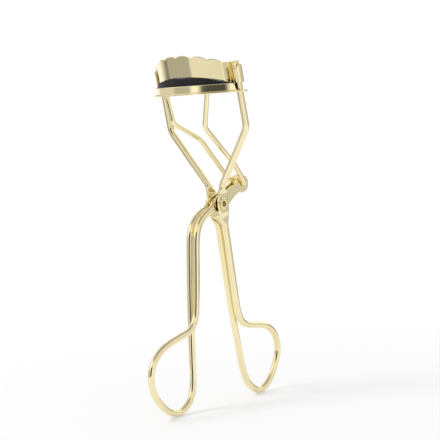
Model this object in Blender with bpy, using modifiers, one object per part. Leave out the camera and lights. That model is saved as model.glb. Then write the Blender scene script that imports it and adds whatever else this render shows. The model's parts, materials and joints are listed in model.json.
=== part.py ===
"""Eyelash curler: a wire frame with a fixed jaw plate, a sliding lower jaw with a rubber pad,
and a moving handle that lifts the lower jaw through a wire yoke.

Frame: +Z up along the handles, +X along the pivot pins and across the jaws, -Y towards the
convex side of the jaws. The origin is on the ground, at the middle of the model's outline.
The model stands on its two finger loops with the jaws closed.
"""

import math

import bmesh
import bpy
from mathutils import Matrix, Vector

MM = 0.001

# Wire stock
HANDLE_WIRE = 1.1  # radius of the frame and handle wires
YOKE_WIRE = 0.8  # radius of the yoke wire
GAP = 0.3  # clearance between neighbouring pieces

# Where things stand (mm). Y is counted from near the rails at the jaws' level, and main() moves
# the finished pieces by MIDDLE_SHIFT_Y, so that Y 0 is the middle of the model.
MIDDLE_SHIFT_Y = 1.573
RAIL_X = 16.6  # half the distance between the two rails
RAIL_LEAN = 0.16  # the rails lean this far towards -Y for each mm of height
BASE_Z = 100.0  # middle of the lower jaw's base flange
RAIL_BASE_Y = 0.5  # where the rails pass that height
RAIL_TOP_Z = 109.6
PIVOT_Y, PIVOT_Z = 4.0, 64.5
EYELET_Y, EYELET_Z = 15.4, 69.9
STRAND_X = 1.4  # half the distance between the two strands of a handle

# Pivot: flattened ears on the wires, one hollow rivet through each pair
FIXED_EAR_X = 2.4
MOVING_EAR_X = 1.2
EAR_THICK = 0.9
LEVER_THICK = 0.8
EAR_RADIUS = 2.7
EYELET_RADIUS = 3.05
RIVET_RADIUS = 0.95
RIVET_HOLE_RADIUS = 0.5
RIVET_HEAD_RADIUS = 1.85
RIVET_HEAD_THICK = 0.5
RIVET_TAIL_THICK = 0.3

# Upper jaw plate: a leaning sheet bent to an arc, with a sleeve rolled round each rail
PLATE_RADIUS = 19.5  # outer face
PLATE_THICK = 0.8
PLATE_HALF_ANGLE = 54.0
PLATE_MID_LOW_Z, PLATE_END_LOW_Z = 105.2, 102.5
PLATE_MID_TOP_Z, PLATE_END_TOP_Z = 111.8, 108.3
SCALLOP_PITCH, SCALLOP_DEPTH = 14.5, 0.3  # degrees of arc, mm either way
SLEEVE_RADIUS = 1.9
SLEEVE_BORE = HANDLE_WIRE + GAP
SLEEVE_LOW_Z, SLEEVE_TOP_Z = 102.7, 108.4

# Lower jaw channel: base flange, front and back walls, lugs round the rails
CHANNEL_RADIUS = 19.1  # middle of the channel
CHANNEL_CENTRE_Y = 10.1
CHANNEL_HALF_WIDTH = 1.65  # inside the walls
WALL_THICK = 0.5
LIP_WIDTH = 0.5
FLANGE_THICK = 0.6
WALL_TOP_Z = 102.6
CHANNEL_HALF_ANGLE = 53.5
BACK_WALL_HALF_ANGLE = 49.0  # stops short, so that the pad's tab can turn out of the channel
LUG_RADIUS = 1.95
YOKE_HOLE_X = 9.0
YOKE_HOLE_RADIUS = 1.22
YOKE_HEAD_RADIUS = 1.35
YOKE_HEAD_THICK = 0.5
YOKE_BEND = (6.6, -6.5, 91.1)  # upper bend of either leg
YOKE_KNEES = {-1: (5.2, 3.8, 85.6), 1: (4.8, 2.6, 82.8)}  # the hand-bent knees differ a little
YOKE_FOOT_X = 3.0

# Rubber pad
PAD_HALF_WIDTH = 1.35
PAD_LOW_Z = 101.45
PAD_TAB_RADIUS = 0.7
PAD_TAB_Z = 101.3
PAD_TAB_ROUTE = ((14.6, -1.2), (14.5, 0.7), (15.3, 2.4), (16.9, 2.8), (18.2, 2.0), (18.6, 0.9))


def clear_scene():
    for obj in list(bpy.data.objects):
        bpy.data.objects.remove(obj, do_unlink=True)


def new_collection(name):
    collection = bpy.data.collections.new(name)
    bpy.context.scene.collection.children.link(collection)
    return collection


def material(name, colour, metallic, roughness):
    made = bpy.data.materials.new(name)
    made.use_nodes = True
    shader = made.node_tree.nodes["Principled BSDF"]
    shader.inputs["Base Color"].default_value = (*colour, 1.0)
    shader.inputs["Metallic"].default_value = metallic
    shader.inputs["Roughness"].default_value = roughness
    made.diffuse_color = (*colour, 1.0)
    return made


def mesh_object(name, mesh, collection):
    obj = bpy.data.objects.new(name, mesh)
    collection.objects.link(obj)
    return obj


def curve_to_mesh(curve_object, collection):
    """The curve's surface as a closed mesh object of the same name; the curve is removed."""
    graph = bpy.context.evaluated_depsgraph_get()
    mesh = bpy.data.meshes.new_from_object(curve_object.evaluated_get(graph))
    shape = bmesh.new()
    shape.from_mesh(mesh)
    bmesh.ops.remove_doubles(shape, verts=shape.verts, dist=1e-6)
    bmesh.ops.recalc_face_normals(shape, faces=shape.faces)
    shape.to_mesh(mesh)
    shape.free()
    name, matrix = curve_object.name, curve_object.matrix_world.copy()
    bpy.data.objects.remove(curve_object, do_unlink=True)
    made = mesh_object(name, mesh, collection)
    made.name = name
    made.matrix_world = matrix
    return made


def rounded_path(corners, arc_step=12.0):
    """Straight runs through (point, bend radius) corners, with each bend an arc."""
    points = [Vector(corners[0][0])]
    for (before, _), (corner, radius), (after, _) in zip(corners, corners[1:], corners[2:]):
        before, corner, after = Vector(before), Vector(corner), Vector(after)
        towards, away = (before - corner).normalized(), (after - corner).normalized()
        turn = math.pi - towards.angle(away)
        reach = radius * math.tan(turn / 2)
        middle = corner + (towards + away).normalized() * (radius / math.cos(turn / 2))
        start = corner + towards * reach - middle
        stop = corner + away * reach - middle
        axis = start.cross(stop).normalized()
        steps = max(2, math.ceil(math.degrees(turn) / arc_step))
        for step in range(steps + 1):
            points.append(middle + Matrix.Rotation(turn * step / steps, 3, axis) @ start)
    points.append(Vector(corners[-1][0]))
    return points


def smooth_path(points, steps):
    """A smooth curve through the points, with this many steps between each two."""
    points = [Vector(p) for p in points]
    ends = [2 * points[0] - points[1], *points, 2 * points[-1] - points[-2]]
    path = []
    for a, b, c, d in zip(ends, ends[1:], ends[2:], ends[3:]):
        for step in range(steps):
            t = step / steps
            path.append(0.5 * (2 * b + (c - a) * t + (2 * a - 5 * b + 4 * c - d) * t * t
                               + (3 * b - a - 3 * c + d) * t ** 3))
    return [*path, points[-1]]


def wire(name, points, radius, collection):
    """A round wire along points given in mm."""
    data = bpy.data.curves.new(name, "CURVE")
    data.dimensions = "3D"
    data.bevel_depth = radius * MM
    data.bevel_resolution = 2
    data.use_fill_caps = True
    spline = data.splines.new("POLY")
    spline.points.add(len(points) - 1)
    for target, point in zip(spline.points, points):
        target.co = (*(Vector(point) * MM), 1.0)
    obj = bpy.data.objects.new(name, data)
    collection.objects.link(obj)
    bpy.context.view_layer.update()
    return curve_to_mesh(obj, collection)


def flat_plate(name, outline, thickness, matrix, collection):
    """A flat plate from a closed outline in mm."""
    data = bpy.data.curves.new(name, "CURVE")
    data.dimensions = "2D"
    data.fill_mode = "BOTH"
    data.extrude = thickness / 2 * MM
    spline = data.splines.new("POLY")
    spline.points.add(len(outline) - 1)
    for target, (x, y) in zip(spline.points, outline):
        target.co = (x * MM, y * MM, 0.0, 1.0)
    spline.use_cyclic_u = True
    obj = bpy.data.objects.new(name, data)
    collection.objects.link(obj)
    obj.matrix_world = matrix
    bpy.context.view_layer.update()
    return curve_to_mesh(obj, collection)


def cylinder(name, centre, axis, radius, length, collection, sides=24):
    """A cylinder about the axis direction through the centre, in mm."""
    mesh = bpy.data.meshes.new(name)
    shape = bmesh.new()
    bmesh.ops.create_cone(shape, cap_ends=True, segments=sides, radius1=radius * MM,
                          radius2=radius * MM, depth=length * MM)
    shape.to_mesh(mesh)
    shape.free()
    obj = mesh_object(name, mesh, collection)
    turn = Vector((0, 0, 1)).rotation_difference(Vector(axis).normalized())
    obj.matrix_world = Matrix.Translation(Vector(centre) * MM) @ turn.to_matrix().to_4x4()
    return obj


def boolean(target, other, operation):
    """Applies the target's modifiers and one Boolean, and removes the other object."""
    modifier = target.modifiers.new(other.name, "BOOLEAN")
    modifier.operation = operation
    modifier.solver = "EXACT"
    modifier.object = other
    bpy.context.view_layer.update()
    graph = bpy.context.evaluated_depsgraph_get()
    mesh = bpy.data.meshes.new_from_object(target.evaluated_get(graph))
    target.modifiers.clear()
    target.data = mesh
    bpy.data.objects.remove(other, do_unlink=True)


def join(target, others):
    for other in others:
        boolean(target, other, "UNION")


def cut(target, cutters):
    for cutter in cutters:
        boolean(target, cutter, "DIFFERENCE")


def move_origin(obj, origin):
    """Puts the object's origin at a point in mm and leaves its shape where it is."""
    shift = Matrix.Translation(-Vector(origin) * MM)
    obj.data.transform(shift @ obj.matrix_world)
    obj.matrix_world = Matrix.Translation(Vector(origin) * MM)


def finish(obj, surface, smooth_angle=40.0):
    obj.data.materials.clear()
    obj.data.materials.append(surface)
    obj.data.shade_smooth()
    obj.data.set_sharp_from_angle(angle=math.radians(smooth_angle))


def arc(centre, radius, start, stop, steps):
    """Points on an arc, in degrees from +X towards the second axis."""
    return [(centre[0] + radius * math.cos(math.radians(start + (stop - start) * i / steps)),
             centre[1] + radius * math.sin(math.radians(start + (stop - start) * i / steps)))
            for i in range(steps + 1)]


def capsule(a, b, radius_a, radius_b, steps=14):
    """The outline of two circles joined by straight sides."""
    heading = math.degrees(math.atan2(b[1] - a[1], b[0] - a[0]))
    near_end = arc(a, radius_a, heading + 90, heading + 270, steps)
    far_end = arc(b, radius_b, heading - 90, heading + 90, steps)
    return near_end + far_end


def side_plate(name, outline, thickness, middle_x, collection):
    """A flattened piece of wire: an outline in the Y-Z plane, given thickness along X."""
    matrix = Matrix(((0, 0, 1, middle_x * MM), (1, 0, 0, 0), (0, 1, 0, 0), (0, 0, 0, 1)))
    return flat_plate(name, outline, thickness, matrix, collection)


def disc(name, y, z, radius, middle_x, collection):
    """A round flattened boss facing along X."""
    return cylinder(name, (middle_x, y, z), (1, 0, 0), radius, EAR_THICK, collection)


def rail_point(side, z):
    return Vector((side * RAIL_X, RAIL_BASE_Y - RAIL_LEAN * (z - BASE_Z), z))


RAIL_AXIS = Vector((0.0, -RAIL_LEAN, 1.0)).normalized()


def fixed_frame(collection):
    """Rails, ears, fixed handle and its finger loop: one bent wire."""
    parts = []
    for side in (-1, 1):
        rail = rounded_path([
            (rail_point(side, RAIL_TOP_Z), 0),
            (rail_point(side, 89.6), 8.0),
            ((side * 3.1, 4.0, 70.3), 3.0),
            ((side * FIXED_EAR_X, 4.0, 67.7), 0)])
        parts.append(wire("rail", rail, HANDLE_WIRE, collection))
        ear = capsule((PIVOT_Y, 67.6), (PIVOT_Y + 1.6, 58.8), 1.5, 1.3)
        parts += [side_plate("ear", ear, LEVER_THICK, side * FIXED_EAR_X, collection),
                  disc("boss", PIVOT_Y, PIVOT_Z, EAR_RADIUS, side * FIXED_EAR_X, collection)]
    loop = [(-FIXED_EAR_X, 5.5, 59.6), (-1.9, 5.9, 56.4), (-STRAND_X, 6.4, 52.2),
            (-STRAND_X, 7.4, 43.0), (-STRAND_X, 8.8, 32.0), (-1.4, 9.9, 25.0), (-1.0, 11.1, 16.0),
            (-0.7, 12.1, 9.0), (-0.4, 14.1, 4.0), (-0.2, 18.7, 1.1), (0.0, 23.2, 2.6),
            (0.2, 26.8, 6.9), (0.5, 28.9, 12.5), (0.7, 27.9, 17.9), (0.9, 24.2, 21.4),
            (1.1, 19.2, 22.9), (1.3, 14.2, 23.7), (1.4, 10.6, 25.6), (STRAND_X, 8.9, 30.2),
            (STRAND_X, 7.4, 43.0), (STRAND_X, 6.4, 52.2), (1.9, 5.9, 56.4), (FIXED_EAR_X, 5.5, 59.6)]
    frame = wire("fixed_handle_frame", smooth_path(loop, 4), HANDLE_WIRE, collection)
    join(frame, parts)
    cut(frame, [cylinder("rivet_hole", (side * FIXED_EAR_X, PIVOT_Y, PIVOT_Z), (1, 0, 0),
                         RIVET_RADIUS + GAP, 3.0, collection) for side in (-1, 1)])
    return frame


def moving_handle(collection):
    """Eyelets, levers, ears, moving handle and its finger loop: one bent wire."""
    parts = []
    for side in (-1, 1):
        lever = capsule((-2.2, 62.3), (EYELET_Y, EYELET_Z), 1.5, 1.8)
        parts += [side_plate("lever", lever, LEVER_THICK, side * MOVING_EAR_X, collection),
                  disc("boss", PIVOT_Y, PIVOT_Z, EAR_RADIUS, side * MOVING_EAR_X, collection),
                  disc("eyelet", EYELET_Y, EYELET_Z, EYELET_RADIUS, side * MOVING_EAR_X, collection)]
    loop = [(-STRAND_X, -1.9, 62.3), (-STRAND_X, -4.8, 60.6), (-STRAND_X, -7.3, 57.6),
            (-STRAND_X, -8.5, 53.2), (-STRAND_X, -9.3, 45.0), (-STRAND_X, -10.2, 33.0),
            (-1.4, -10.7, 24.0), (-1.1, -11.5, 15.6), (-0.8, -12.3, 8.4), (-0.6, -14.6, 3.6),
            (-0.4, -19.6, 1.1), (-0.2, -24.9, 2.4), (0.0, -29.2, 6.3), (0.2, -31.9, 11.6),
            (0.5, -31.5, 17.2), (0.7, -28.2, 21.2), (0.9, -23.7, 23.5), (1.1, -18.6, 24.9),
            (1.3, -14.0, 26.3), (1.4, -11.4, 29.6), (STRAND_X, -10.4, 34.6), (STRAND_X, -9.3, 45.0),
            (STRAND_X, -8.5, 53.2), (STRAND_X, -7.3, 57.6), (STRAND_X, -4.8, 60.6),
            (STRAND_X, -1.9, 62.3)]
    handle = wire("moving_handle", smooth_path(loop, 4), HANDLE_WIRE, collection)
    join(handle, parts)
    for side in (-1, 1):
        cut(handle, [
            cylinder("rivet_hole", (side * MOVING_EAR_X, PIVOT_Y, PIVOT_Z), (1, 0, 0),
                     RIVET_RADIUS + GAP, 2.0, collection),
            cylinder("yoke_hole", (side * MOVING_EAR_X, EYELET_Y, EYELET_Z), (1, 0, 0),
                     YOKE_WIRE + GAP, 2.0, collection)])
    move_origin(handle, (0, PIVOT_Y, PIVOT_Z))
    return handle


def pivot_rivet(side, name, collection):
    """A hollow rivet through one fixed ear and one moving ear, turned from its profile."""
    inner = MOVING_EAR_X - EAR_THICK / 2 - GAP
    outer = FIXED_EAR_X + EAR_THICK / 2 + GAP
    low, high = inner - RIVET_TAIL_THICK, outer + RIVET_HEAD_THICK
    profile = [(RIVET_HOLE_RADIUS, high), (RIVET_HEAD_RADIUS - 0.3, high), (RIVET_HEAD_RADIUS, high - 0.2),
               (RIVET_HEAD_RADIUS, outer), (RIVET_RADIUS, outer), (RIVET_RADIUS, inner),
               (RIVET_HEAD_RADIUS - 0.2, inner), (RIVET_HEAD_RADIUS - 0.2, low), (RIVET_HOLE_RADIUS, low)]
    mesh = bpy.data.meshes.new(name)
    shape = bmesh.new()
    ring = [shape.verts.new((r * MM, 0, h * MM)) for r, h in profile]
    for a, b in zip(ring, ring[1:] + ring[:1]):
        shape.edges.new((a, b))
    shape.to_mesh(mesh)
    shape.free()
    rivet = mesh_object(name, mesh, collection)
    screw = rivet.modifiers.new("Turn", "SCREW")
    screw.steps = screw.render_steps = 24
    screw.use_merge_vertices = True
    screw.merge_threshold = 0.00001
    rivet.matrix_world = (Matrix.Translation(Vector((0, PIVOT_Y, PIVOT_Z)) * MM)
                          @ Matrix.Rotation(side * math.pi / 2, 4, "Y"))
    return rivet


def arc_height(angle, middle, end, half_angle):
    """A height that falls from the middle of an arched edge to its ends."""
    return middle - (middle - end) * (angle / half_angle) ** 2


def plate_low(angle):
    return arc_height(angle, PLATE_MID_LOW_Z, PLATE_END_LOW_Z, PLATE_HALF_ANGLE)


def plate_top(angle):
    wave = math.cos(2 * math.pi * (angle / SCALLOP_PITCH - 0.5))
    return arc_height(angle, PLATE_MID_TOP_Z, PLATE_END_TOP_Z, PLATE_HALF_ANGLE) + SCALLOP_DEPTH * wave


def upper_jaw(collection):
    """The bent sheet as a surface with Solidify, joined to its two sleeves."""
    columns = 56
    centre_y = RAIL_BASE_Y + PLATE_RADIUS * math.cos(math.asin(RAIL_X / PLATE_RADIUS))
    mesh = bpy.data.meshes.new("upper_jaw_plate")
    shape = bmesh.new()
    rows = []
    for i in range(columns + 1):
        angle = PLATE_HALF_ANGLE * (2 * i / columns - 1)
        turn = math.radians(angle)
        across, forward = PLATE_RADIUS * math.sin(turn), centre_y - PLATE_RADIUS * math.cos(turn)
        rows.append([shape.verts.new(Vector((across, forward - RAIL_LEAN * (z - BASE_Z), z)) * MM)
                     for z in (plate_low(angle), plate_top(angle))])
    for left, right in zip(rows, rows[1:]):
        shape.faces.new((left[0], right[0], right[1], left[1]))
    shape.to_mesh(mesh)
    shape.free()
    plate = mesh_object("upper_jaw_plate", mesh, collection)
    sheet = plate.modifiers.new("Sheet", "SOLIDIFY")
    sheet.thickness = PLATE_THICK * MM
    sheet.offset = -1
    sleeve_length = (SLEEVE_TOP_Z - SLEEVE_LOW_Z) / RAIL_AXIS.z
    middle_z = (SLEEVE_TOP_Z + SLEEVE_LOW_Z) / 2
    join(plate, [cylinder("sleeve", rail_point(side, middle_z), RAIL_AXIS, SLEEVE_RADIUS,
                          sleeve_length, collection) for side in (-1, 1)])
    cut(plate, [cylinder("bore", rail_point(side, middle_z), RAIL_AXIS, SLEEVE_BORE,
                         sleeve_length + 8.0, collection) for side in (-1, 1)])
    return plate


def jaw_band(name, inner, outer, half_angle, low_z, high_z, collection, steps=36):
    """A flat band along the jaw's arc, standing from low_z to high_z."""
    centre = (0.0, CHANNEL_CENTRE_Y)
    start, stop = -90 - half_angle, -90 + half_angle
    outline = arc(centre, outer, start, stop, steps) + arc(centre, inner, stop, start, steps)
    matrix = Matrix.Translation((0, 0, (low_z + high_z) / 2 * MM))
    return flat_plate(name, outline, high_z - low_z, matrix, collection)


def yoke_hole(side):
    """Where the yoke passes the base flange, on the channel's middle line."""
    hole_y = CHANNEL_CENTRE_Y - math.sqrt(CHANNEL_RADIUS ** 2 - YOKE_HOLE_X ** 2)
    return Vector((side * YOKE_HOLE_X, hole_y, BASE_Z))


def yoke_head(side):
    """The middle of the head that stands on the flange inside the channel."""
    return yoke_hole(side) + Vector((0, 0, FLANGE_THICK / 2 + GAP + YOKE_HEAD_THICK / 2))


def lower_jaw(collection):
    """Stamped channel: flange with a front lip, two walls, and a lug round each rail."""
    low, high = BASE_Z - FLANGE_THICK / 2, BASE_Z + FLANGE_THICK / 2
    front, back = CHANNEL_RADIUS + CHANNEL_HALF_WIDTH, CHANNEL_RADIUS - CHANNEL_HALF_WIDTH
    jaw = jaw_band("lower_jaw_channel", back - WALL_THICK, front + WALL_THICK + LIP_WIDTH,
                   CHANNEL_HALF_ANGLE + 2.5, low, high, collection)
    walls = [(front, CHANNEL_HALF_ANGLE), (back - WALL_THICK, BACK_WALL_HALF_ANGLE)]
    join(jaw, [jaw_band("wall", inner, inner + WALL_THICK, half_angle, (low + high) / 2, WALL_TOP_Z,
                        collection) for inner, half_angle in walls])
    for side in (-1, 1):
        rail = rail_point(side, BASE_Z)
        join(jaw, [cylinder("lug", rail, (0, 0, 1), LUG_RADIUS, FLANGE_THICK, collection)])
        cut(jaw, [cylinder("rail_hole", rail, RAIL_AXIS, HANDLE_WIRE + GAP, 4.0, collection),
                  cylinder("yoke_hole", yoke_hole(side), (0, 0, 1), YOKE_HOLE_RADIUS, 2.0, collection)])
    move_origin(jaw, (0, 0, BASE_Z))
    return jaw


def rubber_pad(collection):
    """The pad stands in the channel with an arched top, and a tab hooks past each rail."""
    columns = 40
    half_angle = CHANNEL_HALF_ANGLE - 0.8
    mesh = bpy.data.meshes.new("eyelash_pad")
    shape = bmesh.new()
    sections = []
    for i in range(columns + 1):
        angle = half_angle * (2 * i / columns - 1)
        turn = math.radians(angle)
        section = []
        for radius, z in ((CHANNEL_RADIUS - PAD_HALF_WIDTH, PAD_LOW_Z),
                          (CHANNEL_RADIUS + PAD_HALF_WIDTH, PAD_LOW_Z),
                          (CHANNEL_RADIUS + PAD_HALF_WIDTH, plate_low(angle) - GAP),
                          (CHANNEL_RADIUS - PAD_HALF_WIDTH, plate_low(angle) - GAP)):
            section.append(shape.verts.new(Vector((radius * math.sin(turn),
                                                   CHANNEL_CENTRE_Y - radius * math.cos(turn), z)) * MM))
        sections.append(section)
    for left, right in zip(sections, sections[1:]):
        for k in range(4):
            shape.faces.new((left[k], left[(k + 1) % 4], right[(k + 1) % 4], right[k]))
    shape.faces.new(sections[0])
    shape.faces.new(sections[-1])
    bmesh.ops.recalc_face_normals(shape, faces=shape.faces)
    shape.to_mesh(mesh)
    shape.free()
    pad = mesh_object("eyelash_pad", mesh, collection)
    for side in (-1, 1):
        tab = [(side * x, y, PAD_TAB_Z) for x, y in PAD_TAB_ROUTE]
        join(pad, [wire("tab", smooth_path(tab, 3), PAD_TAB_RADIUS, collection)])
    move_origin(pad, (0, 0, BASE_Z))
    return pad


def push_yoke(collection):
    """One wire: headed end, push leg, crossbar through both eyelets, push leg, headed end."""
    legs = []
    for side in (-1, 1):
        bend, knee = [Vector((side * x, y, z)) for x, y, z in (YOKE_BEND, YOKE_KNEES[side])]
        foot = Vector((side * YOKE_FOOT_X, EYELET_Y, EYELET_Z))
        legs.append([(yoke_head(side), 0), (bend, 3.0), (knee, 6.0), (foot, 1.6)])
    corners = legs[0] + legs[1][::-1]
    yoke = wire("push_yoke", rounded_path(corners, arc_step=15.0), YOKE_WIRE, collection)
    join(yoke, [cylinder("head", yoke_head(side), (0, 0, 1), YOKE_HEAD_RADIUS, YOKE_HEAD_THICK,
                         collection, sides=16) for side in (-1, 1)])
    move_origin(yoke, (0, EYELET_Y, EYELET_Z))
    return yoke


def main():
    clear_scene()
    curler = new_collection("eyelash_curler")
    gold = material("gold_plate", (0.83, 0.68, 0.36), 1.0, 0.18)
    rubber = material("black_rubber", (0.02, 0.02, 0.03), 0.0, 0.6)
    for piece in (fixed_frame(curler), moving_handle(curler), upper_jaw(curler), lower_jaw(curler),
                  push_yoke(curler), pivot_rivet(-1, "pivot_rivet_left", curler),
                  pivot_rivet(1, "pivot_rivet_right", curler)):
        finish(piece, gold)
    finish(rubber_pad(curler), rubber)
    for piece in curler.objects:
        piece.location.y += MIDDLE_SHIFT_Y * MM


main()
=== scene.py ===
"""Looks for the gold eyelash curler: smooth bent wires, stamped jaws, hollow rivets and a moulded pad
stand for the CAD nodes, each with a procedural material, on a pale floor in soft studio light.

Shapes are worked out in millimetres, in the CAD's own axes: +Z up, +X across the jaws, -Y towards
their convex side. Y is counted from 4 mm in front of the pivot, as the CAD source counts it.
"""

import json
import math

import bmesh
import bpy
import numpy as np
from mathutils import Matrix, Vector


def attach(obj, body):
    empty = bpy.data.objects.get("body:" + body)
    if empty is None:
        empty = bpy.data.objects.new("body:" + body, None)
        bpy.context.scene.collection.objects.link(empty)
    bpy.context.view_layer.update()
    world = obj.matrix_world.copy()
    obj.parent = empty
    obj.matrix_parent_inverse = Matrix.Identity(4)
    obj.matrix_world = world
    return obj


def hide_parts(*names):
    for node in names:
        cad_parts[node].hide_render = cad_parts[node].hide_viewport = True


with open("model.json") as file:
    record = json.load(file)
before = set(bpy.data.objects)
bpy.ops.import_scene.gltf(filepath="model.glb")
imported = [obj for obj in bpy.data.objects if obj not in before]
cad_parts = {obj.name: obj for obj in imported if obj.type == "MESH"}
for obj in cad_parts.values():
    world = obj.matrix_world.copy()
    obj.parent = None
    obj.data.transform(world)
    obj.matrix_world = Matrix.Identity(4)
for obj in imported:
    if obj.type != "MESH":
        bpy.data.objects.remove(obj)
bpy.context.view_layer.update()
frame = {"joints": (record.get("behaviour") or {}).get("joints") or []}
JOINTS = {joint["name"]: joint for joint in frame["joints"]}

MM = 0.001
X_AXIS = Vector((1, 0, 0))
Z_AXIS = Vector((0, 0, 1))

# Driving places, from the frame
PIVOT_Y = 4.0
MIDDLE_SHIFT_Y = JOINTS["handle_pivot"]["pos_m"][1] / MM - PIVOT_Y
PIVOT_Z = JOINTS["handle_pivot"]["pos_m"][2] / MM
EYELET_Y = JOINTS["yoke_pivot"]["pos_m"][1] / MM - MIDDLE_SHIFT_Y
EYELET_Z = JOINTS["yoke_pivot"]["pos_m"][2] / MM
RAIL_AXIS = -Vector(JOINTS["jaw_slide"]["axis"]).normalized()
RAIL_LEAN = -RAIL_AXIS.y / RAIL_AXIS.z

# Wires, as radii: the two thicknesses, and the rails' hammered ends
HANDLE_WIRE, YOKE_WIRE, PEENED_RADIUS = 1.1, 0.8, 1.32

# Ears, levers and eyelets
FIXED_EAR_X, MOVING_EAR_X = 2.4, 1.2
EAR_HALF_THICK = 0.44
EAR_HALF_WIDTH = 2.6
EAR_FRONT, EAR_TOP_FRONT, EAR_LOW_WIDTH = 2.15, 1.5, 1.9  # from the fixed ear's middle to its edges
EYELET_RADIUS = 3.0
LEVER_HALF_WIDTH = 1.7
LEVER_SWELL = 0.7  # how much wider the lever is beside its ear
NECK_SWELL = 0.25  # how much wider than the lever the flat below the moving ear is
PIVOT_HOLE_RADIUS = 1.2
EYELET_HOLE_RADIUS = 1.05
HOLE_CUTTER_LENGTH = 2.6
FLAT_SQUARENESS, LEVER_SQUARENESS = 5, 6
EAR_REACH, LEVER_REACH, PEENED_REACH = 8.0, 7.0, 1.4  # how far along a wire they need close rings

# Rails and jaws
BASE_Z = 100.0
RAIL_X, RAIL_BASE_Y, RAIL_TOP_Z = 16.1, 0.5, 109.6
RAIL_BEND_Z, RAIL_BEND_RADIUS = 88.3, 5.5
RAIL_FOOT_X, RAIL_FOOT_Z, EAR_TOP_Z, FOOT_BEND_RADIUS = 3.0, 70.3, 67.7, 3.0
RAIL_HOLE_RADIUS = 1.35
PLATE_RADIUS, PLATE_CENTRE_Y = 19.5, 10.73
PLATE_HALF_ANGLE = 54.0
PLATE_MID_LOW_Z, PLATE_END_LOW_Z = 105.2, 102.5
PLATE_MID_TOP_Z, PLATE_END_TOP_Z = 111.8, 108.3
SCALLOP_PITCH, SCALLOP_DEPTH = 15.8, 0.34  # degrees, and millimetres above and below the arch
SCALLOPS_FADE = (46, 50)  # degrees over which they die out
SHEET_THICK, SHEET_EDGE_RADIUS = 0.56, 0.2
SLEEVE_RADIUS = 1.88
BEND_RADIUS = 0.7
BEND_STOP, CURL_STOP = 75.0, -72.0  # degrees: how the sheet faces after its bend, and the curl's end
END_NOTCH, CURL_CHAMFER = 0.4, 1.5  # how far the top edge drops in the bend, and at the free edge
BEND_LOW_Z, CURL_LOW_Z = 102.65, 102.55
SLEEVE_LOW_Z, SLEEVE_TOP_Z = 102.7, 108.4
CHANNEL_RADIUS, CHANNEL_CENTRE_Y = 19.1, 10.1
CHANNEL_HALF_WIDTH = 1.65
WALL_THICK = 0.5
LIP_WIDTH = 0.5
FLANGE_HALF_THICK = 0.3
WALL_TOP_Z = 102.6
WALL_CORNER = 3.2  # degrees of the channel's curve that a wall's rounded end takes
FRONT_WALL_ANGLE, BACK_WALL_ANGLE = 53.5, 49.0
LUG_X, LUG_RADIUS = 16.6, 1.93
YOKE_HOLE_X, YOKE_HOLE_RADIUS = 9.0, 1.22
YOKE_FOOT_X = 2.9
BALL_RADIUS, BALL_TOP, BALL_RISE = 1.28, 0.55, 0.75
BALL_REACH = 1.8  # how far along the wire the ball needs close rings
PAD_HALF_WIDTH, PAD_HALF_ANGLE = 1.35, 52.7
PAD_LOW_Z, PAD_END_LOW_Z = 101.65, 100.42
PAD_LOW_FADE = (35, 40)  # degrees over which its underside steps down towards the ends
PAD_GAP = 0.04  # between the plate's edge and the pad
CREASE_HALF_WIDTH, CREASE_DEPTH = 0.28, 0.12
TAB_ROUTE = [(14.6, -1.2), (14.1, 0.6), (14.4, 2.2)]
TAB_Z, TAB_HALF_WIDTH, TAB_TIP, TAB_TALLER = 101.5, 0.7, 0.6, 1.3

# Set, in metres and degrees
CAMERA_AZIMUTH, CAMERA_DIP, CAMERA_ROLL = 41.613, 4.641, -4.0
CAMERA_PLACE = Vector((0.33457, -0.37000, 0.1))
CAMERA_LENS = 128.45
FLOOR_RADIUS = 0.24
FLOOR_FADE = (-0.05, 0.16)  # distances from the middle over which it turns into the backdrop
TENT_STRENGTH = 1.12


# ---------------------------------------------------------------- paths

def rounded_path(corners, arc_step=5.0):
    """Straight runs through (point, bend radius) corners, with each bend an arc."""
    points = [Vector(corners[0][0])]
    for (before, _), (corner, radius), (after, _) in zip(corners, corners[1:], corners[2:]):
        before, corner, after = Vector(before), Vector(corner), Vector(after)
        towards, away = (before - corner).normalized(), (after - corner).normalized()
        turn = math.pi - towards.angle(away)
        reach = radius * math.tan(turn / 2)
        middle = corner + (towards + away).normalized() * (radius / math.cos(turn / 2))
        start = corner + towards * reach - middle
        stop = corner + away * reach - middle
        axis = start.cross(stop).normalized()
        steps = max(3, math.ceil(math.degrees(turn) / arc_step))
        for step in range(steps + 1):
            points.append(middle + Matrix.Rotation(turn * step / steps, 3, axis) @ start)
    points.append(Vector(corners[-1][0]))
    return points


def smooth_path(points, steps=14):
    """A smooth curve through the points, with this many steps between each two."""
    points = [Vector(p) for p in points]
    ends = [2 * points[0] - points[1], *points, 2 * points[-1] - points[-2]]
    path = []
    for a, b, c, d in zip(ends, ends[1:], ends[2:], ends[3:]):
        for step in range(steps):
            t = step / steps
            path.append(0.5 * (2 * b + (c - a) * t + (2 * a - 5 * b + 4 * c - d) * t * t
                               + (3 * b - a - 3 * c + d) * t ** 3))
    return [*path, points[-1]]


def distances(path):
    """How far along the path each of its points is."""
    steps = [(b - a).length for a, b in zip(path, path[1:])]
    return np.concatenate([[0.0], np.cumsum(steps)])


def nearest_distance(path, target):
    """How far along the path it comes nearest to the target."""
    gaps = [(point - Vector(target)).length for point in path]
    return distances(path)[int(np.argmin(gaps))]


def stations(length, marks, coarse=0.7, fine=0.2):
    """Distances along a wire, closer together within reach of each (distance, reach) mark."""
    found, here = [], 0.0
    while here < length:
        found.append(here)
        near = any(abs(here - place) < reach for place, reach in marks)
        here += fine if near else coarse
    return [*found, length]


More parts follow.
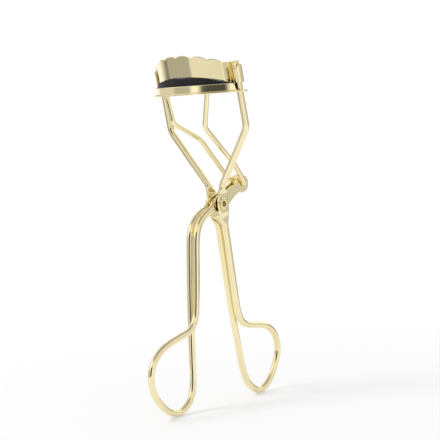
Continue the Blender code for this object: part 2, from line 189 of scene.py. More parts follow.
def at_distances(path, wanted):
    """Points and unit directions of the path at these distances."""
    along = distances(path)
    places = np.array([list(point) for point in path])
    points = [Vector([np.interp(s, along, places[:, k]) for k in range(3)]) for s in wanted]
    reach = 0.15
    directions = []
    for s in wanted:
        ahead = Vector([np.interp(min(s + reach, along[-1]), along, places[:, k]) for k in range(3)])
        behind = Vector([np.interp(max(s - reach, 0), along, places[:, k]) for k in range(3)])
        directions.append((ahead - behind).normalized())
    return points, directions


def fade(value, near, far):
    """1 up to near, 0 from far on, and smooth between."""
    t = min(1.0, max(0.0, (value - near) / (far - near)))
    return 1 - t * t * (3 - 2 * t)


def mix(a, b, share):
    return a + (b - a) * share


def smooth_most(a, b, power=7):
    """The larger of two widths, with a fillet where they cross."""
    return (max(a, 0) ** power + max(b, 0) ** power) ** (1 / power)


def half_chord(radius, offset):
    """Half the width of a circle at this distance from its middle."""
    return math.sqrt(max(0.0, radius ** 2 - offset ** 2))


# ---------------------------------------------------------------- meshes

def ring_surface(name, rings, closed=False):
    """Rings with the same number of points, joined in order into a surface with filled ends."""
    shape = bmesh.new()
    made = [[shape.verts.new(point) for point in ring] for ring in rings]
    count = len(rings[0])
    pairs = list(zip(made, made[1:] + made[:1])) if closed else list(zip(made, made[1:]))
    for ring, following in pairs:
        for k in range(count):
            after = (k + 1) % count
            shape.faces.new((ring[k], ring[after], following[after], following[k]))
    if not closed:
        for ring in (made[0], made[-1]):
            middle = shape.verts.new(sum((vert.co for vert in ring), Vector()) / count)
            for k in range(count):
                shape.faces.new((ring[k], ring[(k + 1) % count], middle))
    bmesh.ops.recalc_face_normals(shape, faces=shape.faces)
    mesh = bpy.data.meshes.new(name)
    shape.to_mesh(mesh)
    shape.free()
    piece = bpy.data.objects.new(name, mesh)
    bpy.context.scene.collection.objects.link(piece)
    return piece


def signed_power(value, power):
    return math.copysign(abs(value) ** power, value)


def section_ring(middle, thick_way, wide_way, half_thick, half_width, squareness, sides):
    """One ring of a wire: round at squareness 2, and flatter-sided above it."""
    ring = []
    for k in range(sides):
        turn = 2 * math.pi * k / sides
        thick = half_thick * signed_power(math.cos(turn), 2 / squareness)
        wide = half_width * signed_power(math.sin(turn), 2 / squareness)
        ring.append(middle + thick_way * thick + wide_way * wide)
    return ring


def sweep(name, path, wanted, section, across=None, sides=28):
    """A wire along the path. section(distance) gives half thickness, half width and squareness,
    and a sideways shift if it has one; across is the way its thickness points, and a round wire
    needs none."""
    points, directions = at_distances(path, wanted)
    thick_way = across or directions[0].orthogonal()
    rings, before = [], directions[0]
    for distance, point, direction in zip(wanted, points, directions):
        if across is None:
            thick_way = before.rotation_difference(direction) @ thick_way
        thick_way = (thick_way - direction * thick_way.dot(direction)).normalized()
        wide_way = direction.cross(thick_way)
        half_thick, half_width, squareness, *shift = section(distance)
        middle = point + wide_way * sum(shift)
        rings.append(section_ring(middle, thick_way, wide_way, half_thick, half_width, squareness, sides))
        before = direction
        if across is not None:
            thick_way = across
    return ring_surface(name, rings)


def turned(name, profile, middle, axis, sides=40):
    """A closed (radius, height) profile turned round an axis through the middle."""
    turn = Z_AXIS.rotation_difference(Vector(axis).normalized())
    rings = []
    for k in range(sides):
        angle = 2 * math.pi * k / sides
        spoke = Vector((math.cos(angle), math.sin(angle), 0))
        rings.append([Vector(middle) + turn @ (spoke * r + Z_AXIS * h) for r, h in profile])
    return ring_surface(name, rings, closed=True)


def rod(name, middle, axis, radius, length, sides=40):
    """A plain round cutter."""
    half = length / 2
    path = [Vector(middle) - axis * half, Vector(middle) + axis * half]
    return sweep(name, path, [0, length], lambda _: (radius, radius, 2), sides=sides)


def boolean(target, other, operation):
    modifier = target.modifiers.new(operation, "BOOLEAN")
    modifier.operation = operation
    modifier.solver = "MANIFOLD"
    modifier.object = other
    bpy.context.view_layer.update()
    graph = bpy.context.evaluated_depsgraph_get()
    mesh = bpy.data.meshes.new_from_object(target.evaluated_get(graph))
    target.modifiers.clear()
    target.data = mesh
    bpy.data.objects.remove(other, do_unlink=True)


def rounded_outline(corners, corner_steps=4, support=0.1):
    """A closed outline through (x, y, radius) corners. Each corner is an arc, and a point a little
    beyond each end of it keeps the flats between corners shaded flat."""
    outline = []
    count = len(corners)
    for k in range(count):
        before, here, after = (Vector(corners[(k + step) % count][:2]) for step in (-1, 0, 1))
        towards, away = before - here, after - here
        turn = math.pi - towards.angle(away)
        shorter = min(towards.length, away.length)
        radius = min(corners[k][2], 0.4 * shorter / math.tan(turn / 2))
        reach = radius * math.tan(turn / 2)
        beyond = reach + min(support, 0.08 * shorter)
        towards, away = towards.normalized(), away.normalized()
        middle = here + (towards + away).normalized() * (radius / math.cos(turn / 2))
        start = here + towards * reach - middle
        way = math.copysign(turn, start.x * away.y - start.y * away.x)
        outline.append(here + towards * beyond)
        for step in range(corner_steps + 1):
            spoke = Matrix.Rotation(way * step / corner_steps, 2) @ start
            outline.append(middle + spoke)
        outline.append(here + away * beyond)
    return outline


def into_frame(piece, body, node, surface, smooth_angle=38):
    """Millimetres into the frame's metres, then the piece's material and body, with its CAD node hidden.
    """
    piece.data.transform(Matrix.Scale(MM, 4) @ Matrix.Translation((0, MIDDLE_SHIFT_Y, 0)))
    piece.data.materials.clear()
    piece.data.materials.append(surface)
    piece.data.shade_smooth()
    piece.data.set_sharp_from_angle(angle=math.radians(smooth_angle))
    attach(piece, body)
    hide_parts(node)
    return piece


# ---------------------------------------------------------------- materials

class Nodes:
    """Adds and links shader nodes with few words."""

    def __init__(self, tree):
        self.tree = tree
        self.tree.nodes.clear()

    def add(self, kind, **settings):
        node = self.tree.nodes.new(kind)
        for name, value in settings.items():
            setattr(node, name, value)
        return node

    def link(self, output, target):
        self.tree.links.new(output, target)

    def noise(self, vector, scale, detail=2.0):
        node = self.add("ShaderNodeTexNoise")
        self.link(vector, node.inputs["Vector"])
        node.inputs["Scale"].default_value = scale
        node.inputs["Detail"].default_value = detail
        return node.outputs["Fac"]

    def spread(self, value, low, high, to_low, to_high):
        """Maps low..high of a value to to_low..to_high, and holds it there."""
        node = self.add("ShaderNodeMapRange")
        self.link(value, node.inputs["Value"])
        for name, number in zip(("From Min", "From Max", "To Min", "To Max"),
                                (low, high, to_low, to_high)):
            node.inputs[name].default_value = number
        return node.outputs["Result"]

    def colours(self, share, first, second):
        node = self.add("ShaderNodeMix", data_type="RGBA")
        self.link(share, node.inputs["Factor"])
        node.inputs["A"].default_value = (*first, 1)
        node.inputs["B"].default_value = (*second, 1)
        return node.outputs["Result"]

    def maths(self, operation, first, second=None):
        """A maths node on one or two outputs; the second may be a number."""
        node = self.add("ShaderNodeMath", operation=operation)
        self.link(first, node.inputs[0])
        if isinstance(second, (int, float)):
            node.inputs[1].default_value = second
        elif second is not None:
            self.link(second, node.inputs[1])
        return node.outputs[0]

    def bump(self, height, distance, strength):
        node = self.add("ShaderNodeBump")
        self.link(height, node.inputs["Height"])
        node.inputs["Distance"].default_value = distance
        node.inputs["Strength"].default_value = strength
        return node.outputs["Normal"]


def new_surface(name):
    surface = bpy.data.materials.new(name)
    surface.use_nodes = True
    nodes = Nodes(surface.node_tree)
    shader = nodes.add("ShaderNodeBsdfPrincipled")
    output = nodes.add("ShaderNodeOutputMaterial")
    nodes.link(shader.outputs["BSDF"], output.inputs["Surface"])
    place = nodes.add("ShaderNodeTexCoord").outputs["Object"]
    return surface, nodes, shader, place


def stretched(nodes, place, scale):
    node = nodes.add("ShaderNodeMapping")
    nodes.link(place, node.inputs["Vector"])
    node.inputs["Scale"].default_value = scale
    return node.outputs["Vector"]


def gold(name, grain, polish):
    """Polished pale gold plate. grain is how the fine drawing or rolling marks are stretched, and
    polish is the lowest and highest roughness."""
    surface, nodes, shader, place = new_surface(name)
    tone = nodes.noise(place, 55, 3)
    nodes.link(nodes.colours(nodes.spread(tone, 0.35, 0.65, 0, 1), (0.93, 0.83, 0.53),
                             (0.90, 0.79, 0.48)), shader.inputs["Base Color"])
    marks = nodes.noise(stretched(nodes, place, grain), 1, 4)
    smears = nodes.noise(place, 240, 2)
    both = nodes.maths("ADD", marks, smears)
    nodes.link(nodes.spread(both, 0.75, 1.25, *polish), shader.inputs["Roughness"])
    waves = nodes.noise(place, 420, 1)
    nodes.link(nodes.bump(nodes.maths("ADD", waves, marks), 0.00002, 0.12), shader.inputs["Normal"])
    shader.inputs["Metallic"].default_value = 1.0
    return surface


def rubber(name):
    """Dense black silicone rubber with a faint moulded texture and a little dust."""
    surface, nodes, shader, place = new_surface(name)
    cloud = nodes.noise(place, 180, 3)
    nodes.link(nodes.colours(nodes.spread(cloud, 0.4, 0.7, 0, 1), (0.006, 0.006, 0.007),
                             (0.016, 0.015, 0.017)), shader.inputs["Base Color"])
    shader.inputs["Specular IOR Level"].default_value = 0.3
    nodes.link(nodes.spread(cloud, 0.3, 0.7, 0.42, 0.58), shader.inputs["Roughness"])
    pores = nodes.noise(place, 2600, 3)
    nodes.link(nodes.bump(pores, 0.00003, 0.35), shader.inputs["Normal"])
    return surface


# ---------------------------------------------------------------- wires

def rail_point(side, z):
    return Vector((side * RAIL_X, RAIL_BASE_Y - RAIL_LEAN * (z - BASE_Z), z))


def rail_path(side):
    """From the rail's top down to the middle of the fixed ear."""
    return rounded_path([
        (rail_point(side, RAIL_TOP_Z), 0),
        (rail_point(side, RAIL_BEND_Z), RAIL_BEND_RADIUS),
        ((side * RAIL_FOOT_X, PIVOT_Y, RAIL_FOOT_Z), FOOT_BEND_RADIUS),
        ((side * FIXED_EAR_X, PIVOT_Y, EAR_TOP_Z), FOOT_BEND_RADIUS),
        ((side * FIXED_EAR_X, PIVOT_Y, PIVOT_Z), 0)])


# Each handle's strands and finger loop, from below one ear to below the other: points along the
# wire's middle line
FIXED_LOOP = [
    (-2.38, 4.5, 62.2), (-1.95, 5.1, 59.8), (-1.45, 5.7, 57.0), (-1.4, 6.4, 52.2),
    (-1.4, 7.4, 43.0), (-1.4, 8.8, 32.0), (-1.4, 9.9, 25.0), (-1.0, 11.1, 16.0),
    (-0.7, 12.1, 9.0), (-0.4, 14.1, 4.0), (-0.2, 18.7, 1.1), (0.0, 23.2, 2.6),
    (0.2, 26.8, 6.9), (0.5, 28.9, 12.5), (0.7, 27.9, 17.9), (0.9, 24.2, 21.4),
    (1.1, 19.2, 22.9), (1.3, 14.2, 23.7), (1.4, 10.6, 25.6), (1.4, 8.9, 30.2),
    (1.4, 7.4, 43.0), (1.4, 6.4, 52.2), (1.45, 5.7, 57.0), (1.95, 5.1, 59.8),
    (2.38, 4.5, 62.2)]

MOVING_LOOP = [
    (-1.25, 0.9, 63.4), (-1.4, -1.9, 62.3), (-1.4, -4.8, 60.6), (-1.4, -7.3, 57.6),
    (-1.4, -8.5, 53.2), (-1.4, -9.3, 45.0), (-1.4, -10.2, 33.0), (-1.4, -10.7, 24.0),
    (-1.1, -11.5, 15.6), (-0.8, -12.3, 8.4), (-0.6, -14.6, 3.6), (-0.4, -19.6, 1.1),
    (-0.2, -24.9, 2.4), (0.0, -29.2, 6.3), (0.2, -31.9, 11.6), (0.5, -31.5, 17.2),
    (0.7, -28.2, 21.2), (0.9, -23.7, 23.5), (1.1, -18.6, 24.9), (1.3, -14.0, 26.3),
    (1.4, -11.4, 29.6), (1.4, -10.4, 34.6), (1.4, -9.3, 45.0), (1.4, -8.5, 53.2),
    (1.4, -7.3, 57.6), (1.4, -4.8, 60.6), (1.4, -1.9, 62.3), (1.25, 0.9, 63.4)]


def cut_holes(piece, places, radius):
    for place in places:
        boolean(piece, rod("hole", place, X_AXIS, radius, HOLE_CUTTER_LENGTH), "DIFFERENCE")


def with_end_stations(wanted, length, ways):
    """Adds stations at these distances from both ends of a wire."""
    return sorted({*wanted, *ways, *(length - way for way in ways)})


def peened_end(to_end, radius, head_radius, dome=0.32, head=0.55):
    """The radius of a wire near its hammered end: a low dome, a slightly wider head, the wire."""
    if to_end < dome:
        return max(0.25 * head_radius, half_chord(head_radius, (dome - to_end) / dome * head_radius))
    return mix(radius, head_radius, fade(to_end, head, head + 0.35))


def fixed_wire():
    """Rails, coined ears, strands and the finger loop: one bent wire with peened rail ends."""
    ears = [(side * FIXED_EAR_X, PIVOT_Y, PIVOT_Z) for side in (-1, 1)]
    strands = smooth_path([ears[0], *FIXED_LOOP, ears[1]])
    path = rail_path(-1)[:-1] + strands + rail_path(1)[::-1][1:]
    length = distances(path)[-1]
    at_ears = [nearest_distance(path, ear) for ear in ears]

    def section(distance):
        """Round on the rails and strands, and a flat strip at the ears, narrower at the front than
        at the back. Each fade runs over a stretch of distance from the pivot. The wide way points
        to the front on the way down and to the back on the way up, and to_back makes up for it."""
        to_end = min(distance, length - distance)
        ear = min(at_ears, key=lambda place: abs(place - distance))
        on_rail = distance < at_ears[0] or distance > at_ears[1]
        from_ear = abs(distance - ear)
        radius = peened_end(to_end, HANDLE_WIRE, PEENED_RADIUS)
        to_back = -1 if ear == at_ears[0] else 1
        if on_rail:
            flat = fade(from_ear, 3.5, 5.6)
            shoulder = mix(radius, EAR_TOP_FRONT, fade(from_ear, 3.0, 5.8))
            front = mix(shoulder, EAR_FRONT, fade(from_ear, 0.4, 2.8))
            back = mix(radius, EAR_HALF_WIDTH, fade(from_ear, 3.8, 4.9))
        else:
            flat = fade(from_ear, 4.4, 7.4)
            narrowing = fade(from_ear, 1.0, 5.0)
            front = mix(radius, mix(EAR_LOW_WIDTH, EAR_FRONT, narrowing), flat)
            back = mix(radius, mix(EAR_LOW_WIDTH, EAR_HALF_WIDTH, narrowing), flat)
        return (mix(radius, EAR_HALF_THICK, flat), (front + back) / 2, mix(2, FLAT_SQUARENESS, flat),
                to_back * (back - front) / 2)

    marks = [(place, EAR_REACH) for place in at_ears] + [(0, PEENED_REACH), (length, PEENED_REACH)]
    wanted = with_end_stations(stations(length, marks), length, [0.07 * k for k in range(1, 9)])
    wire = sweep("fixed_handle_wire", path, wanted, section, across=X_AXIS)
    cut_holes(wire, ears, PIVOT_HOLE_RADIUS)
    return wire


def moving_wire():
    """Eyelets, levers, ears, strands and the finger loop: one bent wire."""
    ears = [(side * MOVING_EAR_X, PIVOT_Y, PIVOT_Z) for side in (-1, 1)]
    eyelets = [(side * MOVING_EAR_X, EYELET_Y, EYELET_Z) for side in (-1, 1)]
    lever = (Vector(eyelets[0]) - Vector(ears[0])).normalized()
    ends = [Vector(eyelet) + lever * EYELET_RADIUS for eyelet in eyelets]
    middle = smooth_path([ears[0], *MOVING_LOOP, ears[1]])
    path = [ends[0], *middle, ends[1]]
    length = distances(path)[-1]
    at_ears = [nearest_distance(path, ear) for ear in ears]

    def section(distance):
        to_end = min(distance, length - distance)
        ear = min(at_ears, key=lambda place: abs(place - distance))
        from_ear = abs(distance - ear)
        on_lever = distance < at_ears[0] or distance > at_ears[1]
        boss = half_chord(EAR_HALF_WIDTH, from_ear)
        if on_lever:
            eyelet = half_chord(EYELET_RADIUS, to_end - EYELET_RADIUS)
            bar = LEVER_HALF_WIDTH + LEVER_SWELL * fade(from_ear, 3.0, 8.0)
            bar *= fade(EYELET_RADIUS - to_end, 0, 1)
            half_width = smooth_most(smooth_most(bar, eyelet), boss)
            return EAR_HALF_THICK, max(0.05, half_width), LEVER_SQUARENESS
        flat = fade(from_ear, 2.6, 4.6)
        half_width = smooth_most(mix(HANDLE_WIRE, LEVER_HALF_WIDTH + NECK_SWELL, flat), boss)
        return mix(HANDLE_WIRE, EAR_HALF_THICK, flat), half_width, mix(2, LEVER_SQUARENESS, flat)

    marks = [(place, LEVER_REACH) for place in (*at_ears, 0, length)]
    wanted = with_end_stations(stations(length, marks), length, [0.01 * k * k for k in range(1, 9)])
    wire = sweep("moving_handle_wire", path, wanted, section, across=X_AXIS)
    cut_holes(wire, ears, PIVOT_HOLE_RADIUS)
    cut_holes(wire, eyelets, EYELET_HOLE_RADIUS)
    return wire


def yoke_hole(side):
    hole_y = CHANNEL_CENTRE_Y - math.sqrt(CHANNEL_RADIUS ** 2 - YOKE_HOLE_X ** 2)
    return Vector((side * YOKE_HOLE_X, hole_y, BASE_Z))


def yoke_wire():
    """Ball end, push leg, crossbar through both eyelets, push leg, ball end: one wire, whose two legs
    are bent at different places."""
    bends = {-1: (-6.6, -6.5, 91.1), 1: (5.4, -5.1, 89.3)}
    knees = {-1: (-5.1, 3.8, 85.6), 1: (3.4, 10.0, 76.7)}
    legs = []
    for side in (-1, 1):
        top = yoke_hole(side) + Z_AXIS * (BALL_RISE + BALL_TOP)
        foot = (side * YOKE_FOOT_X, EYELET_Y, EYELET_Z)
        legs.append([(top, 0), (bends[side], 3.0), (knees[side], 6.0), (foot, 1.6)])
    path = rounded_path(legs[0] + legs[1][::-1])
    length = distances(path)[-1]

    def section(distance):
        from_ball = min(distance, length - distance) - BALL_TOP
        if from_ball < 0:
            radius = max(0.15, half_chord(BALL_RADIUS, from_ball / BALL_TOP * BALL_RADIUS))
        else:
            radius = max(YOKE_WIRE, half_chord(BALL_RADIUS, from_ball))
        return radius, radius, 2

    wanted = stations(length, [(0, BALL_REACH), (length, BALL_REACH)], coarse=0.45, fine=0.06)
    return sweep("yoke_wire", path, wanted, section, sides=24)


# ---------------------------------------------------------------- rivets

def arc_points(middle, radius, start, stop, steps=5):
    """(radius, height) points of an arc in degrees, from the outward way towards the axis's end."""
    angles = [math.radians(mix(start, stop, k / steps)) for k in range(steps + 1)]
    return [(middle[0] + radius * math.cos(a), middle[1] + radius * math.sin(a)) for a in angles]


def hollow_rivet(side, name):
    """A tubular rivet: a rolled head outside the fixed ear and a flared tail inside the moving one."""
    ear_outside = FIXED_EAR_X + EAR_HALF_THICK
    ear_inside = MOVING_EAR_X - EAR_HALF_THICK
    bore, shank, head, tail = 0.8, 1.05, 1.85, 1.6
    head_flare, tail_flare = 0.4, 0.34
    head_roll, tail_roll = 0.34, 0.24
    profile = [(bore, ear_inside + 0.1), (bore, ear_outside - 0.1)]
    profile += arc_points((bore + head_flare, ear_outside + 0.32), head_flare, 180, 110, 5)
    profile += arc_points((head - head_roll, ear_outside + 0.38), head_roll, 95, -60, 8)
    profile += [(shank + 0.1, ear_outside + 0.04), (shank, ear_outside - 0.1)]
    profile += [(shank, ear_inside + 0.05), (shank + 0.1, ear_inside - 0.05)]
    profile += arc_points((tail - tail_roll, ear_inside - 0.3), tail_roll, 60, -80, 6)
    profile += arc_points((bore + tail_flare, ear_inside - 0.2), tail_flare, -100, -180, 5)
    return turned(name, profile, (0, PIVOT_Y, PIVOT_Z), X_AXIS * side, sides=48)


# ---------------------------------------------------------------- jaws

def arch(angle, middle, end, half_angle):
    """A height that falls from the middle of an arched edge to its ends."""
    return middle - (middle - end) * min(1.0, abs(angle) / half_angle) ** 2


def plate_low(angle):
    return arch(angle, PLATE_MID_LOW_Z, PLATE_END_LOW_Z, PLATE_HALF_ANGLE)


def plate_top(angle):
    """The arched top edge with its scallops: round crests and narrower hollows."""
    phase = math.pi * (angle / SCALLOP_PITCH - 0.5)
    wave = 2 * (1 - (1 - abs(math.cos(phase))) ** 1.6) - 1
    scallop = SCALLOP_DEPTH * wave * fade(abs(angle), *SCALLOPS_FADE)
    return arch(angle, PLATE_MID_TOP_Z, PLATE_END_TOP_Z, PLATE_HALF_ANGLE) + scallop


def leaning(x, y, z):
    """A point given on the rails' cross-section at BASE_Z, carried up or down along them."""
    return Vector((x, y - RAIL_LEAN * (z - BASE_Z), z))


def sheet_stations():
    """(middle, outward way, low, top) along the sheet's middle line, from the free edge by the rail
    on the -X side to the one on the +X side: curl, bend, arc, bend, curl."""
    half = SHEET_THICK / 2
    arc_radius, curl_radius = PLATE_RADIUS - half, SLEEVE_RADIUS - half
    centre = Vector((0, PLATE_CENTRE_Y))
    rail = Vector((RAIL_X, RAIL_BASE_Y))
    stop = math.radians(BEND_STOP)
    stop_way = Vector((math.sin(stop), -math.cos(stop)))
    reach = (rail - centre).dot(stop_way) - BEND_RADIUS - curl_radius
    arc_end = stop - math.acos(reach / (arc_radius - BEND_RADIUS))
    bend = centre + (arc_radius - BEND_RADIUS) * Vector((math.sin(arc_end), -math.cos(arc_end)))
    found = []
    arc_steps = 150
    for k in range(arc_steps + 1):
        angle = arc_end * (2 * k / arc_steps - 1)
        way = Vector((math.sin(angle), -math.cos(angle)))
        degrees = math.degrees(angle)
        found.append((centre + way * arc_radius, way, plate_low(degrees), plate_top(degrees)))
    end_low, end_top = found[-1][2:]
    side = []
    bend_steps = 9
    for k in range(1, bend_steps + 1):
        angle = mix(arc_end, stop, k / bend_steps)
        way = Vector((math.sin(angle), -math.cos(angle)))
        top = end_top - END_NOTCH * (1 - fade(k / bend_steps, 0, 1))
        low = mix(end_low, BEND_LOW_Z, k / bend_steps)
        side.append((bend + way * BEND_RADIUS, way, low, top))
    curl_start = 90 + BEND_STOP
    curl_steps = 64
    for k in range(curl_steps + 1):
        degrees = mix(curl_start, CURL_STOP, k / curl_steps)
        angle = math.radians(degrees)
        way = Vector((math.cos(angle), math.sin(angle)))
        rise = fade(curl_start - degrees, 5, 70)
        chamfer = CURL_CHAMFER * fade(degrees - CURL_STOP, 5, 60)
        low = mix(SLEEVE_LOW_Z, CURL_LOW_Z, rise)
        top = mix(SLEEVE_TOP_Z - chamfer, end_top - END_NOTCH, rise)
        side.append((rail + way * curl_radius, -way, low, top))
    mirrored = [(Vector((-middle.x, middle.y)), Vector((-way.x, way.y)), low, top)
                for middle, way, low, top in side]
    return mirrored[::-1] + found + side


def upper_sheet():
    """Stamped plate: one scalloped sheet whose ends are rolled round the rails."""
    half = SHEET_THICK / 2
    rings = []
    for middle, way, low, top in sheet_stations():
        corners = [(half, low), (half, top), (-half, top), (-half, low)]
        outline = rounded_outline([(*corner, SHEET_EDGE_RADIUS) for corner in corners])
        rings.append([leaning(*(middle + way * point.x), point.y) for point in outline])
    return ring_surface("upper_jaw_sheet", rings)


def wall_height(angle, end_angle):
    """How high a wall stands above the flange: full, then a quarter round to nothing at its end."""
    full = WALL_TOP_Z - BASE_Z - FLANGE_HALF_THICK
    past = (abs(angle) - (end_angle - WALL_CORNER)) / WALL_CORNER
    return full * math.sqrt(max(0.0, 1 - max(0.0, past) ** 2.6))


def channel_point(angle, radius, z):
    turn = math.radians(angle)
    return Vector((radius * math.sin(turn), CHANNEL_CENTRE_Y - radius * math.cos(turn), z))


def lower_channel():
    """Stamped channel: flange with a rolled front lip, two walls, and a lug round each rail."""
    low, high = BASE_Z - FLANGE_HALF_THICK, BASE_Z + FLANGE_HALF_THICK
    front_in = CHANNEL_RADIUS + CHANNEL_HALF_WIDTH
    front_out, lip = front_in + WALL_THICK, front_in + WALL_THICK + LIP_WIDTH
    back_out = CHANNEL_RADIUS - CHANNEL_HALF_WIDTH
    back_in = back_out - WALL_THICK
    lug_radius = math.hypot(LUG_X, RAIL_BASE_Y - CHANNEL_CENTRE_Y)
    lug_angle = math.degrees(math.atan2(LUG_X, CHANNEL_CENTRE_Y - RAIL_BASE_Y))
    tip_angle = lug_angle + math.degrees(LUG_RADIUS / lug_radius)
    quarter = math.pi / 2
    angles = [FRONT_WALL_ANGLE * k / 90 for k in range(91)]
    angles += [mix(FRONT_WALL_ANGLE, tip_angle, math.sin(quarter * k / 28)) for k in range(1, 29)]
    angles += [FRONT_WALL_ANGLE - WALL_CORNER * (1 - math.cos(quarter * k / 10)) for k in range(1, 10)]
    angles += [BACK_WALL_ANGLE - WALL_CORNER * (1 - math.sin(quarter * k / 10)) for k in range(1, 11)]
    angles = sorted({round(a, 4) for a in angles})
    angles = [-a for a in angles[:0:-1]] + angles
    rings = []
    for angle in angles:
        narrow = fade(abs(angle), FRONT_WALL_ANGLE - 1.0, lug_angle - 0.4)
        offset = max(0.0, abs(angle) - lug_angle) * math.radians(lug_radius)
        lug = max(0.12, half_chord(LUG_RADIUS, offset))
        inner = mix(lug_radius - lug, back_in, narrow)
        outer = mix(lug_radius + lug, lip, narrow)
        front_base, back_base = min(front_out, outer - 0.1), max(back_out, inner + 0.1)
        front_top = high + max(0.02, wall_height(angle, FRONT_WALL_ANGLE))
        back_top = high + max(0.02, wall_height(angle, BACK_WALL_ANGLE))
        wall_in = min(front_in, front_base - 0.1)
        back_wall_in = max(back_in, inner + 0.02)
        outline = rounded_outline([
            (inner, low, 0.2), (outer, low, 0.24), (outer, high, 0.24), (front_base, high, 0.12),
            (front_base, front_top, 0.2), (wall_in, front_top, 0.2), (wall_in, high, 0.3),
            (back_base, high, 0.3), (back_base, back_top, 0.2), (back_wall_in, back_top, 0.2)])
        rings.append([channel_point(angle, point.x, point.y) for point in outline])
    jaw = ring_surface("lower_jaw_stamping", rings)
    for side in (-1, 1):
        rail_hole = rod("rail_hole", rail_point(side, BASE_Z), RAIL_AXIS, RAIL_HOLE_RADIUS, length=4.0)
        boolean(jaw, rail_hole, "DIFFERENCE")
        leg_hole = rod("yoke_hole", yoke_hole(side), Z_AXIS, YOKE_HOLE_RADIUS, length=2.0)
        boolean(jaw, leg_hole, "DIFFERENCE")
    return jaw


def rubber_strip():
    """Moulded pad: an arched strip with a crease worn by the plate, and a tab inside each rail."""
    rings = []
    steps = 120
    for k in range(steps + 1):
        angle = PAD_HALF_ANGLE * (2 * k / steps - 1)
        low = mix(PAD_END_LOW_Z, PAD_LOW_Z, fade(abs(angle), *PAD_LOW_FADE))
        top = plate_low(angle) - PAD_GAP
        wide, crease = PAD_HALF_WIDTH, CREASE_HALF_WIDTH
        outline = rounded_outline([
            (-wide, low, 0.2), (wide, low, 0.2), (wide, top, 0.32), (crease, top, 0.1),
            (0.0, top - CREASE_DEPTH, 0.2), (-crease, top, 0.1), (-wide, top, 0.32)], corner_steps=3)
        rings.append([channel_point(angle, CHANNEL_RADIUS + point.x, point.y) for point in outline])
    pad = ring_surface("rubber_pad", rings)
    for side in (-1, 1):
        path = smooth_path([(side * x, y, TAB_Z) for x, y in TAB_ROUTE], 10)
        length = distances(path)[-1]

        def section(distance):
            past_tip = min(1.0, max(0.0, 1 - (length - distance) / TAB_TIP))
            half_width = max(0.1, TAB_HALF_WIDTH * math.sqrt(1 - past_tip ** 2.2))
            return half_width * TAB_TALLER, half_width, 3

        wanted = stations(length, [(length, 0.8)], coarse=0.3, fine=0.08)
        tab = sweep("tab", path, wanted, section, across=Z_AXIS, sides=20)
        boolean(pad, tab, "UNION")
    return pad


# ---------------------------------------------------------------- set

# Grey and dark panels in the white tent: azimuth from the camera's side, positive to its right,
# then elevation, each as (from, to, soft edge) in degrees, then brightness
TENT_PANELS = [
    ((-128, -57, 4), (-24, -6, 3), 0.42),
    ((-132, -88, 9), (-5, 11, 2), 0.68),
    ((-86, -58, 7), (-5, 14, 2), 0.46),
    ((-119, -112, 2), (-18, -5, 2), 0.22),
    ((-165, -120, 8), (4, 17, 2), 0.35),
    ((-53, 24, 4), (-24, -8, 2), 0.77),
    ((58, 106, 14), (-15, 15, 4), 0.60),
    ((114, 152, 8), (-16, 12, 4), 0.34),
    ((-31, 5, 13), (-7, 25, 4), 0.07),
    ((-20, 105, 15), (30, 52, 8), 0.72),
    ((-200, 200, 1), (58, 100, 12), 0.38),
]


def window(nodes, value, start, stop, soft):
    """1 between start and stop, and smoothly 0 outside."""
    rise = nodes.spread(value, start - soft, start, 0, 1)
    fall = nodes.spread(value, stop, stop + soft, 1, 0)
    for node in (rise.node, fall.node):
        node.interpolation_type = "SMOOTHSTEP"
    return nodes.maths("MULTIPLY", rise, fall)


def world_light():
    """A white tent with the grey and dark panels that polished metal shows."""
    world = bpy.data.worlds.new("tent")
    bpy.context.scene.world = world
    world.use_nodes = True
    nodes = Nodes(world.node_tree)
    place = nodes.add("ShaderNodeTexCoord").outputs["Generated"]
    turned_place = nodes.add("ShaderNodeVectorRotate", rotation_type="Z_AXIS")
    nodes.link(place, turned_place.inputs["Vector"])
    turned_place.inputs["Angle"].default_value = -math.radians(CAMERA_AZIMUTH)
    split = nodes.add("ShaderNodeSeparateXYZ")
    nodes.link(turned_place.outputs["Vector"], split.inputs["Vector"])
    minus_y = nodes.maths("MULTIPLY", split.outputs["Y"], -1)
    azimuth = nodes.maths("MULTIPLY", nodes.maths("ARCTAN2", split.outputs["X"], minus_y),
                          math.degrees(1))
    elevation = nodes.maths("MULTIPLY", nodes.maths("ARCSINE", split.outputs["Z"]), math.degrees(1))
    light = None
    for across, upward, brightness in TENT_PANELS:
        share = nodes.maths("MULTIPLY", window(nodes, azimuth, *across),
                            window(nodes, elevation, *upward))
        layer = nodes.add("ShaderNodeMix", data_type="FLOAT")
        nodes.link(share, layer.inputs["Factor"])
        layer.inputs[2].default_value = 1.0
        if light is not None:
            nodes.link(light, layer.inputs[2])
        layer.inputs[3].default_value = brightness
        light = layer.outputs[0]
    tent = nodes.add("ShaderNodeBackground")
    nodes.link(light, tent.inputs["Color"])
    tent.inputs["Strength"].default_value = TENT_STRENGTH
    backdrop = nodes.add("ShaderNodeBackground")
    backdrop.inputs["Color"].default_value = (1, 1, 1, 1)
    seen = nodes.add("ShaderNodeLightPath").outputs["Is Camera Ray"]
    both = nodes.add("ShaderNodeMixShader")
    nodes.link(seen, both.inputs[0])
    nodes.link(tent.outputs[0], both.inputs[1])
    nodes.link(backdrop.outputs[0], both.inputs[2])
    output = nodes.add("ShaderNodeOutputWorld")
    nodes.link(both.outputs[0], output.inputs["Surface"])


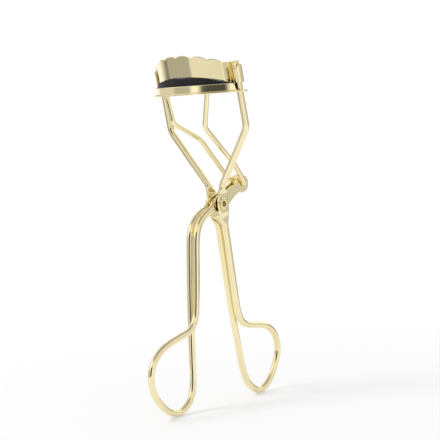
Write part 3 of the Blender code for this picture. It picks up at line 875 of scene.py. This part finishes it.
def camera():
    """At the photograph's angle: level with the jaws, from the front and the right."""
    azimuth, dip, roll = (math.radians(a) for a in (CAMERA_AZIMUTH, CAMERA_DIP, CAMERA_ROLL))
    back = Vector((math.sin(azimuth) * math.cos(dip), -math.cos(azimuth) * math.cos(dip), math.sin(dip)))
    right = Vector((math.cos(azimuth), math.sin(azimuth), 0))
    up = back.cross(right)
    rolled_right = right * math.cos(roll) + up * math.sin(roll)
    rolled_up = up * math.cos(roll) - right * math.sin(roll)
    eye = bpy.data.objects.new("camera", bpy.data.cameras.new("camera"))
    bpy.context.scene.collection.objects.link(eye)
    turn = Matrix((rolled_right, rolled_up, back)).transposed().to_4x4()
    eye.matrix_world = Matrix.Translation(CAMERA_PLACE) @ turn
    eye.data.sensor_width = 36
    eye.data.lens = CAMERA_LENS
    eye.data.clip_start, eye.data.clip_end = 0.01, 20
    bpy.context.scene.camera = eye


def floor():
    """A pale round floor that turns into the white of the backdrop away from the object."""
    shape = bmesh.new()
    bmesh.ops.create_circle(shape, cap_ends=True, segments=96, radius=FLOOR_RADIUS)
    mesh = bpy.data.meshes.new("floor")
    shape.to_mesh(mesh)
    shape.free()
    plane = bpy.data.objects.new("floor", mesh)
    bpy.context.scene.collection.objects.link(plane)
    surface, nodes, shader, place = new_surface("pale_floor")
    shader.inputs["Base Color"].default_value = (0.94, 0.94, 0.95, 1)
    shader.inputs["Roughness"].default_value = 0.6
    shader.inputs["Specular IOR Level"].default_value = 0.2
    away = nodes.add("ShaderNodeVectorMath", operation="LENGTH")
    nodes.link(place, away.inputs[0])
    share = nodes.spread(away.outputs["Value"], *FLOOR_FADE, 0, 1)
    glow = nodes.add("ShaderNodeEmission")
    both = nodes.add("ShaderNodeMixShader")
    nodes.link(share, both.inputs[0])
    nodes.link(shader.outputs[0], both.inputs[1])
    nodes.link(glow.outputs[0], both.inputs[2])
    output = next(node for node in surface.node_tree.nodes if node.type == "OUTPUT_MATERIAL")
    nodes.link(both.outputs[0], output.inputs["Surface"])
    mesh.materials.append(surface)


def soft_light(name, place, target, size, power):
    light = bpy.data.objects.new(name, bpy.data.lights.new(name, "AREA"))
    bpy.context.scene.collection.objects.link(light)
    light.data.shape = "DISK"
    light.data.size = size
    light.data.energy = power
    light.location = place
    light.rotation_euler = (Vector(target) - Vector(place)).to_track_quat("-Z", "Y").to_euler()
    light.visible_camera = False
    light.visible_glossy = False


def build_object():
    wire_gold = gold("gold_wire", (900, 900, 60), (0.05, 0.13))
    sheet_gold = gold("gold_sheet", (300, 300, 700), (0.06, 0.15))
    rivet_gold = gold("gold_rivet", (700, 700, 700), (0.10, 0.22))
    black = rubber("black_silicone")
    into_frame(fixed_wire(), "frame", "fixed_handle_frame", wire_gold)
    into_frame(moving_wire(), "handle", "moving_handle", wire_gold)
    into_frame(yoke_wire(), "yoke", "push_yoke", wire_gold)
    into_frame(upper_sheet(), "frame", "upper_jaw_plate", sheet_gold)
    into_frame(lower_channel(), "lower_jaw", "lower_jaw_channel", sheet_gold)
    for side, name in ((-1, "left"), (1, "right")):
        into_frame(hollow_rivet(side, f"hollow_rivet_{name}"), "frame", f"pivot_rivet_{name}",
                   rivet_gold)
    pad = into_frame(rubber_strip(), "lower_jaw", "eyelash_pad", black)


camera()
world_light()
floor()
soft_light("key", place=(-0.35, -0.45, 0.75), target=(0, 0, 0.06), size=0.35, power=3)
build_object()
bpy.context.scene.view_settings.view_transform = "Standard"
